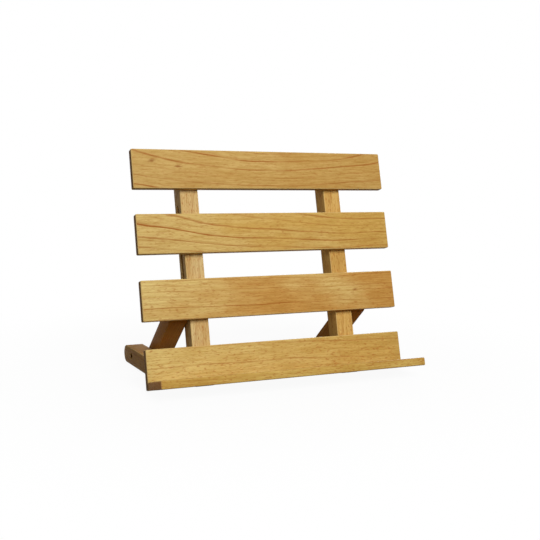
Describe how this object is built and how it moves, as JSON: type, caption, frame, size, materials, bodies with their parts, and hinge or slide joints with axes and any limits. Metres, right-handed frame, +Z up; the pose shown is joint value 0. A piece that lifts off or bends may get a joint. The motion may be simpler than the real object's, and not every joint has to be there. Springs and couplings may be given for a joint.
{
  "type": "folding bookstand",
  "caption": "Folding wooden bookstand: a leaning rack of slats with a book ledge, propped by a slanting leg and a base bar on each side that fold flat against the stiles.",
  "frame": {"origin": "on the table, in the middle of the open stand's footprint box", "axes": "+X along the slats to the reader's right, +Y away from the reader towards the base bars' rear ends, +Z up"},
  "size_m": [0.32, 0.204, 0.2615],
  "materials": {
    "slat_wood": "satin",
    "frame_wood": "satin",
    "bright_steel": "satin",
    "dark_steel": "satin"
  },
  "bodies": {
    "panel": {"slat_top": "slat_wood", "slat_upper": "slat_wood", "slat_lower": "slat_wood", "slat_bottom": "slat_wood", "ledge": "slat_wood", "stile_left": "frame_wood", "stile_right": "frame_wood", "spacer_left": "frame_wood", "spacer_right": "frame_wood", "bar_bolt_left": "dark_steel", "bar_bolt_right": "dark_steel", "slat_screws_left": "bright_steel", "slat_screws_right": "bright_steel", "ledge_screws": "bright_steel"},
    "bar_left": {"base_bar_left": "frame_wood"},
    "bar_right": {"base_bar_right": "frame_wood"},
    "leg_left": {"leg_left": "frame_wood", "leg_bolt_left": "dark_steel", "leg_pin_left": "bright_steel", "leg_washer_left": "bright_steel"},
    "leg_right": {"leg_right": "frame_wood", "leg_bolt_right": "dark_steel", "leg_pin_right": "bright_steel", "leg_washer_right": "bright_steel"}
  },
  "joints": [
    {"name": "bar_fold_left", "type": "hinge", "parent": "panel", "child": "bar_left", "pos_m": [-0.1379, -0.02189, 0.01612], "axis": [1, 0, 0], "range_deg": [0, 75.7]},
    {"name": "leg_fold_left", "type": "hinge", "parent": "bar_left", "child": "leg_left", "pos_m": [-0.1379, 0.06568, 0.01239], "axis": [1, 0, 0], "range_deg": [-140.9, 0]},
    {"name": "bar_fold_right", "type": "hinge", "parent": "panel", "child": "bar_right", "pos_m": [0.1379, -0.02189, 0.01612], "axis": [1, 0, 0], "range_deg": [0, 75.7]},
    {"name": "leg_fold_right", "type": "hinge", "parent": "bar_right", "child": "leg_right", "pos_m": [0.1379, 0.06568, 0.01239], "axis": [1, 0, 0], "range_deg": [-140.9, 0]}
  ],
  "couplings": [
    {"joint": "leg_fold_left", "follows": "bar_fold_left", "ratio": -1.86},
    {"joint": "leg_fold_right", "follows": "bar_fold_right", "ratio": -1.86}
  ]
}
